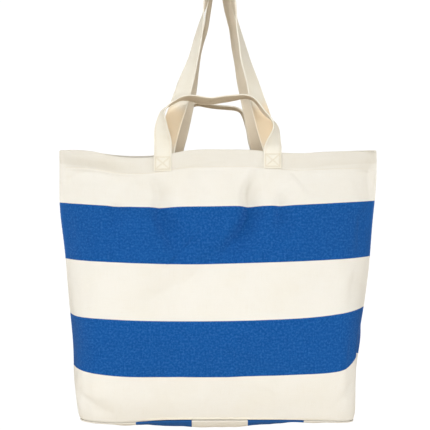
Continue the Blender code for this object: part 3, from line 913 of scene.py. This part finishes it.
def seam_start(direction, z, level):
    """How far out the tape can start at this height, clear of both walls."""
    needed = TAPE_THICK / 2 + CLOTH / 2 + 1.9 * MM
    limits = []
    half = slice(COLUMNS // 2, None, direction)
    for side in SIDES:
        grid = PANEL[side]["grid"]
        row = int(np.argmin(np.abs(grid[:, COLUMNS // 2, 2] - z)))
        xs, ys = np.abs(grid[row, half, 0]), side * (grid[row, half, 1] - level)
        limits.append(xs[ys > needed].max())
    return min(limits) - 1.4 * MM


def make_side_binding(direction, place):
    """Folded tape over the seam allowance of one side seam, pointing into the bag."""
    node = place + "_seam_binding"
    low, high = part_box(node)
    z = np.linspace(low.z, high.z, 180)
    level = np.interp(z, *seam_line(direction))
    start = np.array([seam_start(direction, *at) for at in zip(z, level)])
    start = np.convolve(np.pad(start, 4, mode="edge"), np.ones(9) / 9, mode="valid")
    sway = waves(z, z * 0, 70 * MM, 81 + direction) * 0.6 * MM
    section = tape_section()
    x = direction * (start[:, None] - section[None, :, 0])
    y = level[:, None] + sway[:, None] * (section[None, :, 0] / TAPE_WIDTH) + section[None, :, 1]
    grid = np.stack([x, y, np.repeat(z[:, None], len(section), 1)], -1)
    make_tape(node, grid, section, along_curve(grid[:, 0]), ring=False)


BINDING_ROW = -6           # the panels' row that the base binding follows, and the columns it leaves out
BINDING_KEEP = slice(8, -8)


def make_base_binding():
    """Folded tape over the base seam's allowance, standing up all round the inside of the base."""
    inset = CLOTH / 2 + 1.7 * MM + TAPE_THICK / 2
    loop = []
    for side in SIDES:
        out = unit(PANEL[side]["normals"][BINDING_ROW] * np.array([1, 1, 0]))
        keep = (PANEL[side]["grid"][BINDING_ROW] - out * inset)[BINDING_KEEP]
        keep[:, 2] = BASE_Z
        loop += list(keep if side == FRONT else keep[::-1])
    closed = np.array(loop + loop[:1])
    spread = along_curve(closed)
    at = np.linspace(0, spread[-1], 421)[:-1]
    ring = sample(at, spread, closed)
    tangent = unit(np.roll(ring, -1, 0) - np.roll(ring, 1, 0))
    aside = np.stack([tangent[:, 1], -tangent[:, 0], np.zeros(len(ring))], -1)
    section = tape_section()
    sway = waves(ring[:, 0], ring[:, 1], 80 * MM, 91)[:, None] * 0.5 * MM
    sway = sway * (section[None, :, 0] / TAPE_WIDTH)
    grid = ring[:, None] + aside[:, None] * (section[None, :, 1] + sway)[..., None]
    grid[..., 2] = BASE_Z + 0.6 * MM + section[None, :, 0]
    make_tape("base_seam_binding", grid, section, at, ring=True)


# ---------------------------------------------------------------- webbing

# Routes of the four bands above the rim, left end to right end: X, height above the rim, and how far the band
# has turned from lying flat against the bag, in millimetres and degrees.
FRONT_HANDLE = (
    (-86.0, 11, 4), (-87.2, 23, 24), (-88.2, 34, 40), (-87.3, 46.5, 57), (-84.5, 58.5, 75), (-78.6, 67, 88),
    (-69.1, 75, 93), (-57.3, 80.3, 97), (-43.2, 80.6, 105), (-27.5, 78.2, 112), (-5.5, 76.7, 107),
    (11.1, 78.6, 107), (24.3, 81.2, 104), (43, 82.6, 98), (57, 77.2, 95), (69.9, 63.3, 96), (81.6, 49.6, 93),
    (88.2, 40.5, 79), (90.7, 29.5, 62), (89.3, 15.3, 40),
)
BACK_HANDLE = (
    (-67.5, 12, 8), (-64, 26, 30), (-59, 42, 56), (-53, 60, 76), (-46, 72.5, 84), (-36, 78.5, 84),
    (-20, 77, 82), (2, 74.3, 82), (20, 73.4, 82), (31, 72, 83), (38.5, 68, 84), (43.5, 59.5, 82),
    (49, 47, 70), (56.5, 32, 48), (63.5, 16, 20),
)
FRONT_STRAP = (
    (-77.2, 20, 3), (-67.0, 56, 8), (-55.5, 90, 19), (-47.2, 118, 36), (-40.2, 142, 53), (-31.0, 177, 64),
    (-24.8, 207, 79), (-18.3, 237, 100), (-11.8, 272, 99), (-7.1, 299.6, 91), (-4.9, 304.8, 90),
    (0, 306.7, 90), (4.9, 304.8, 90), (7.1, 299.6, 91), (13.6, 272, 99), (23.6, 237, 104),
    (30.6, 206, 86), (35.8, 181, 74), (39.6, 166, 68), (44.2, 146, 58), (55.4, 104, 44), (60.6, 87, 34),
    (71.0, 52, 16), (81.0, 18, 4),
)
BACK_STRAP = (
    (-64.6, 20, 2), (-57.0, 52, 6), (-48.5, 90, 20), (-41.0, 122, 48), (-34.5, 149, 68), (-21.5, 190, 78),
    (-16.2, 217, 78), (-10.9, 244, 80), (-8.2, 276, 87), (-7.1, 299.6, 90), (-4.9, 304.8, 90), (0, 306.7, 90),
    (4.9, 304.8, 90), (7.1, 299.6, 89), (9.8, 276, 76), (15.3, 244, 64), (22.6, 212, 62), (29.4, 180, 59),
    (36.0, 148, 50), (45.0, 107, 34), (52.0, 79, 18), (60.4, 40, 6), (64.8, 18, 2),
)
ROUTES = {
    FRONT: {"handle": FRONT_HANDLE, "strap": FRONT_STRAP},
    BACK: {"handle": BACK_HANDLE, "strap": BACK_STRAP},
}
HANDLE_LEAN = {FRONT: 14 * MM, BACK: 12 * MM}
HANDLE_TALL = 80 * MM
STRAP_UPRIGHT = 8          # how far below its top a strap has come in to the hook, in millimetres
ROUTE_STEP = 1.6 * MM
SEWN_ROWS = 44
FREE_BLEND = 20 * MM       # how far from a sewn end a band comes free
SWAY, CUP, RIPPLE = 0.7 * MM, 0.55 * MM, 0.07 * MM
PINCH = 0.5                # how much thinner a band is under its box stitching, and how far from it
PINCH_REACH = 1.0 * MM
SELVEDGE_REACH = 0.9 * MM
EDGE_ROW = WEB_WIDTH / 2 - 2.4 * MM
RIM_PAINTED_SHADE_REACH = 62 * MM  # how far above the rim a strap's inner face is painted darker, as painted shade
# Where a strap's outer face has a painted warm glow, for light bounced from the band in front
PAINTED_GLOW_HEIGHT, PAINTED_GLOW_REACH = 46 * MM, 34 * MM


def sewn_place(side, x, depth, thick, outside):
    """Where this thickness of webbing ends, outside a panel or on its hem inside, and which way is out."""
    place, normal = on_panel(side, x, depth)
    level = unit(normal * np.array([0, 1, 1]))
    if outside:
        return place + level * (CLOTH / 2 + LAYER_GAP + thick), level
    return place - level * (1.5 * CLOTH + HEM_SLACK + LAYER_GAP + thick), level


def sewn_stretch(side, x, outside):
    """Rows up one sewn-down end from its cut edge to the rim, each a point and no turn."""
    return [[*sewn_place(side, x, depth, WEB / 2, outside)[0], 0.0] for depth in np.linspace(SEWN, 0, 6)]


def band_route(side, stations, outside):
    """The whole centre line of a band, sewn ends included, with its turn in radians as a fourth number."""
    left_x, right_x = (HANDLE_X if outside else STRAP_X)[side]
    left = sewn_stretch(side, left_x, outside)
    right = sewn_stretch(side, right_x, outside)[::-1]
    rows = list(left)
    top = max(height for _, height, _ in stations)
    for k, (x, height, turn) in enumerate(stations):
        root_y = left[-1][1] if k < len(stations) / 2 else right[0][1]
        if outside:
            y = root_y + side * HANDLE_LEAN[side] * smooth(height * MM / HANDLE_TALL)
        else:
            y = root_y + (side * STRAP_HOOK_Y - root_y) * min(height / (top - STRAP_UPRIGHT), 1)
        rows.append([x * MM, y, RIM_Z + height * MM, math.radians(turn)])
    fine = spline(rows + right, 0.4 * MM)
    s = along_curve(fine[:, :3])
    free = int((s[-1] - 2 * SEWN) / ROUTE_STEP)
    at = np.concatenate([np.linspace(0, SEWN, SEWN_ROWS)[:-1], np.linspace(SEWN, s[-1] - SEWN, free),
                         np.linspace(s[-1] - SEWN, s[-1], SEWN_ROWS)[1:]])
    return sample(at, s, fine)


def band_frame(side, route):
    """At each point of a band: towards its inner edge across it, and out of its outer face."""
    along = unit(np.gradient(route[:, :3], along_curve(route[:, :3]), axis=0))
    inwards = unit(np.stack([along[:, 2], np.zeros(len(along)), -along[:, 0]], -1))
    turn = route[:, 3][:, None]
    across = inwards * np.cos(turn) + np.array([0, side, 0]) * np.sin(turn)
    across = unit(across - along * np.sum(across * along, -1, keepdims=True))
    face = unit(np.cross(along, across))
    return across, face


def web_section():
    """A band's cross-section: across and thickness, with round selvedges, thicker than the middle."""
    half, radius = WEB_WIDTH / 2, WEB_EDGE
    flat = np.linspace(-1, 1, 37) * (half - radius)
    turn = np.linspace(math.pi / 2, -math.pi / 2, 7)[1:-1]
    thick = WEB / 2 + 0.16 * MM * hill(np.abs(flat), half - radius - 0.8 * MM, 1.2 * MM)
    right = np.stack([half - radius + radius * np.cos(turn), WEB / 2 * np.sin(turn)], -1)
    upper = np.stack([flat, thick], -1)
    return np.concatenate([upper, right, upper[::-1] * [1, -1], -right])


def box_path():
    """The box and its cross, as lines in the plane of the sewn end, from its middle."""
    w, h = BOX_HALF_WIDTH, BOX_HALF_HEIGHT
    upper_left, upper_right, lower_right, lower_left = (-w, h), (w, h), (w, -h), (-w, -h)
    return [(upper_left, upper_right), (upper_right, lower_right), (lower_right, lower_left),
            (lower_left, upper_left), (upper_left, lower_right), (upper_right, lower_left)]


def box_pinch(across, from_end):
    """Where the box stitching draws the band thin, 0 to 1."""
    pinch = np.zeros(np.broadcast(across, from_end).shape)
    for (x0, y0), (x1, y1) in box_path():
        _, aside, along = nearest(across, from_end, (x0, SEWN / 2 - y0), (x1, SEWN / 2 - y1))
        pinch = np.maximum(pinch, hill(np.hypot(aside, along), 0, PINCH_REACH))
    return pinch


def band_painted_light(side, section, s, outside):
    """The "inner" attribute of a band, ring by ring, from each ring's distance along it: painted shade on the
    face that is turned in, darkest along the middle of a handle and near the rim on a strap, less a painted
    warm glow on a strap's outer face.
    """
    turned_in, turned_out = (np.clip(sign * section[:, 1] / (WEB / 2), 0, 1)[None] for sign in (-side, side))
    if outside:
        share = (s / s[-1])[:, None]
        return turned_in * (0.45 + 0.55 * smooth((share - 0.22) / 0.1) * smooth((0.78 - share) / 0.1))
    above = np.minimum(s, s[-1] - s)[:, None] - SEWN
    painted_glow = turned_out * hill(above, PAINTED_GLOW_HEIGHT, PAINTED_GLOW_REACH, 4)
    return turned_in * (0.52 + 0.33 * hill(above, 0, RIM_PAINTED_SHADE_REACH)) - painted_glow


def cupped(across):
    """The shape of a cupped band, 1 at its selvedges, that leaves its middle line about level."""
    return (2 * across / WEB_WIDTH) ** 2 - 0.35


def make_band(name, side, stations, outside, nodes):
    """One length of webbing with its edge stitching, both ends sewn to the bag and the rest free."""
    route = band_route(side, stations, outside)
    across, face = band_frame(side, route)
    s = along_curve(route[:, :3])
    section = web_section()
    free = smooth((s - SEWN) / FREE_BLEND) * smooth((s[-1] - SEWN - s) / FREE_BLEND)
    seed = 100 + 7 * len(name) + (0 if outside else 1)
    sway = waves(s, s * 0, 60 * MM, seed) * SWAY * free
    cup = waves(s, s * 0, 80 * MM, seed + 1) * CUP * free
    p, down = np.meshgrid(section[:, 0], s)
    pinch = box_pinch(p, np.minimum(down, s[-1] - down))
    ripple = waves(p, down, 13 * MM, seed + 2) * RIPPLE * free[:, None]
    raised = section[None, :, 1] * (1 - PINCH * pinch) + cup[:, None] * cupped(p) + ripple + sway[:, None]
    grid = route[:, None, :3] + across[:, None] * p[..., None] + face[:, None] * raised[..., None]
    points = grid.reshape(-1, 3)
    faces = outward(points, tube_faces(*p.shape))
    edge = np.exp(-(WEB_WIDTH / 2 - np.abs(p)) / SELVEDGE_REACH)
    # The third number is the selvedges' wear, less the painted shade in the grooves of the box stitching.
    cloth = np.stack([p, down, edge - pinch], -1).reshape(-1, 3)
    # Painted shade and a painted warm glow, carried by the inner attribute.
    inner = band_painted_light(side, section, s, outside).ravel()
    indices = [0] * len(faces)

    near = cup * cupped(EDGE_ROW) + sway
    for sign in (-1, 1):
        for flip in (-1, 1):
            line = (route[:, :3] + across * (sign * EDGE_ROW)
                    + face * (near + flip * (WEB / 2 + PROUD))[:, None])
            more, quads = stitches(line, face * flip, seed + 3 + sign + 2 * flip, len(points))
            faces += quads
            points = np.concatenate([points, more])
            cloth = np.concatenate([cloth, np.zeros((len(more), 3))])
            inner = np.concatenate([inner, np.zeros(len(more))])
            indices += [1] * len(quads)
    made = make_piece(name + "_web", points, faces, [WEBBING, THREAD], cloth, indices, inner)
    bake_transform(made)
    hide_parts(*nodes)


# ---------------------------------------------------------------- stitching on the bag

BOX_SUNK = 0.34 * MM
BOX_STEPS = 12


def make_box_stitch(side, x, outside, name, *nodes):
    """Box-and-cross stitching, on the outer face of a handle's end or the inner face of a strap's end."""
    points, faces = np.zeros((0, 3)), []
    for k, (start, end) in enumerate(box_path()):
        line, ups = [], []
        for across, up in np.linspace(start, end, BOX_STEPS):
            place, level = sewn_place(side, x, SEWN / 2 - up, WEB - BOX_SUNK, outside)
            line.append(place + np.array([across, 0, 0]))
            ups.append(level if outside else -level)
        more, quads = stitches(np.array(line), np.array(ups), 200 + k, len(points))
        faces += quads
        points = np.concatenate([points, more])
    sew_on(make_piece(name, points, faces, [THREAD]), "cream_thread", *nodes)


def make_hem_stitch(side):
    """The row of stitches that holds the hem, right across the outside of the panel."""
    panel, name = PANEL[side], FACE[side] + "_hem_stitch"
    k, share = row_above(side, HEM_STITCH_DEPTH)
    line, out = (panel[data][k] * (1 - share) + panel[data][k + 1] * share for data in ("grid", "normals"))
    line, out = line[6:-6], unit(out)[6:-6]
    points, faces = stitches(line + out * (CLOTH / 2 + PROUD), out, 300 + side)
    sew_on(make_piece(name + "es", points, faces, [THREAD]), "cream_thread", name)


# ---------------------------------------------------------------- assembly

def build_bag():
    """The base, the tapes and the panels first, then the webbing and the thread on each side."""
    base = make_base()
    for direction, place in ENDS:
        make_side_binding(direction, place)
    make_base_binding()
    panels = {side: make_panel(side) for side in SIDES}
    for side in SIDES:
        name = FACE[side]
        make_hem_stitch(side)
        for handle_x, strap_x, (_, place) in zip(HANDLE_X[side], STRAP_X[side], ENDS):
            node = f"{name}_box_stitch_{place}"
            make_box_stitch(side, handle_x, True, f"{name}_box_stitches_{place}", node)
            make_box_stitch(side, strap_x, False, f"{name}_strap_box_stitches_{place}")
        for kind, stations in ROUTES[side].items():
            nodes = [f"{name}_{kind}"] + [f"{name}_{kind}_end_{place}" for _, place in ENDS]
            make_band(f"{name}_{kind}", side, stations, kind == "handle", nodes)


build_bag()


# ---------------------------------------------------------------- floor, light and camera

FLOOR_Z = -1.25
EYE_LEVEL = -0.408
EYE_DISTANCE = 2.5
EYE_X = -0.004
SEEN_WIDTH = 0.688
SENSOR = 36
FLOOR_RADIUS = 3.0
FLOOR_POINTS = 96
FLOOR_COLOURS = (0.79, 0.73, 0.63, 1), (0.81, 0.75, 0.65, 1)

DAYLIGHT = (0.96, 1.0, 1.06)
# Lamps: name, place, what it points at, width, power, colour.
LAMPS = (
    ("key", (-2.2, -2.7, 2.0), (0, 0, -0.5), 1.7, 12.4, DAYLIGHT),
    ("fill", (-0.2, -2.9, -0.75), (0, 0, -0.78), 1.6, 6.8, DAYLIGHT),
    ("side", (2.6, -1.3, -0.2), (0, 0, -0.5), 1.6, 8.4, DAYLIGHT),
    ("edge", (-2.6, -0.8, -0.4), (0, 0, -0.5), 1.6, 4.6, DAYLIGHT),
    ("back", (0.6, 2.8, 1.3), (0, 0, -0.45), 1.8, 10, (1, 0.94, 0.84)),
)
LAMP_SPREAD = math.radians(70)
SKY_COLOUR = (1, 0.84, 0.61, 1)
SKY_LEVELS = {"From Min": -0.6, "From Max": 0.8, "To Min": 0.06, "To Max": 0.34}


def make_floor():
    """A plain disc, low below the bag."""
    turn = np.arange(FLOOR_POINTS) * math.tau / FLOOR_POINTS
    ring = np.stack([FLOOR_RADIUS * np.cos(turn), FLOOR_RADIUS * np.sin(turn), turn * 0 + FLOOR_Z], -1)
    mesh = bpy.data.meshes.new("floor")
    mesh.from_pydata(ring.tolist(), [], [list(range(FLOOR_POINTS))])
    graph = Graph("floor")
    place = graph.add("TexCoord").outputs["Object"]
    mesh.materials.append(graph.finish(graph.mix(graph.noise(place, 3.0), *FLOOR_COLOURS), None, 0, 0.9, 0))
    put_in_scene("floor", mesh)


def make_lamp(name, place, target, width, power, colour):
    """A round lamp that shines at its target."""
    data = bpy.data.lights.new(name, "AREA")
    data.shape = "DISK"
    data.size = width
    data.energy = power
    data.color = colour
    data.spread = LAMP_SPREAD
    made = put_in_scene(name, data)
    made.location = place
    made.rotation_euler = (Vector(target) - Vector(place)).to_track_quat("-Z", "Y").to_euler()


def make_world():
    """White to look at, and a sky that is brighter above than below to light by."""
    world = bpy.data.worlds.new("studio")
    world.use_nodes = True
    tree = world.node_tree
    tree.nodes.clear()

    def add(kind, **inputs):
        node = tree.nodes.new("ShaderNode" + kind)
        for key, value in inputs.items():
            node.inputs[key].default_value = value
        return node

    out, mixer, path = add("OutputWorld"), add("MixShader"), add("LightPath")
    seen, lit = add("Background", Color=(1, 1, 1, 1), Strength=1.05), add("Background", Color=SKY_COLOUR)
    coordinate, parts, ramp = add("TexCoord"), add("SeparateXYZ"), add("MapRange", **SKY_LEVELS)
    for output, to in ((coordinate.outputs["Generated"], parts.inputs[0]),
                       (parts.outputs["Z"], ramp.inputs["Value"]),
                       (ramp.outputs[0], lit.inputs["Strength"]),
                       (path.outputs["Is Camera Ray"], mixer.inputs[0]),
                       (lit.outputs[0], mixer.inputs[1]),
                       (seen.outputs[0], mixer.inputs[2]),
                       (mixer.outputs[0], out.inputs[0])):
        tree.links.new(output, to)
    bpy.context.scene.world = world


def make_camera():
    """Level and far off, square on to the front of the bag."""
    data = bpy.data.cameras.new("camera")
    data.sensor_width = SENSOR
    data.lens = SENSOR * EYE_DISTANCE / SEEN_WIDTH
    data.dof.use_dof = False
    made = put_in_scene("camera", data)
    made.location = (EYE_X, -EYE_DISTANCE, EYE_LEVEL)
    made.rotation_euler = (math.pi / 2, 0, 0)
    bpy.context.scene.camera = made


make_floor()
for lamp in LAMPS:
    make_lamp(*lamp)
make_world()
make_camera()
bpy.context.scene.view_settings.view_transform = "Standard"
